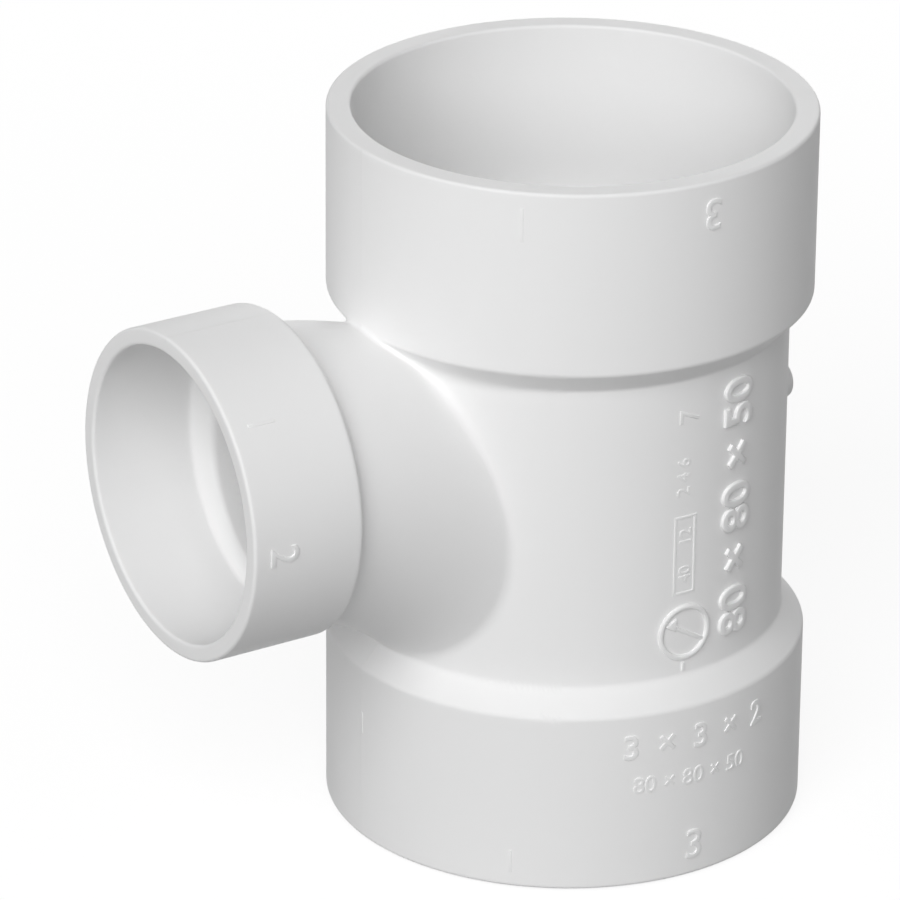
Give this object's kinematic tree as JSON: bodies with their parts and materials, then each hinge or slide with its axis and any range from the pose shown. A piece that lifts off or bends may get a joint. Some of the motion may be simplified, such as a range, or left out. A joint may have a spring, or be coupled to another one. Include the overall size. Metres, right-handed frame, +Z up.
{
  "type": "sanitary tee",
  "caption": "Moulded plastic drain fitting: a straight run with a pipe socket at each end, and a smaller socketed branch whose neck sweeps down into the side of the run.",
  "frame": {"origin": "centre of the lower mouth of the run, where the fitting drains", "axes": "+Z up the run to its upper mouth, +X level out of the branch's mouth"},
  "size_m": [0.1487, 0.1, 0.1524],
  "materials": {
    "white_pvc": "satin, as moulded"
  },
  "bodies": {
    "root": {"tee_body": "white_pvc"}
  },
  "joints": []
}
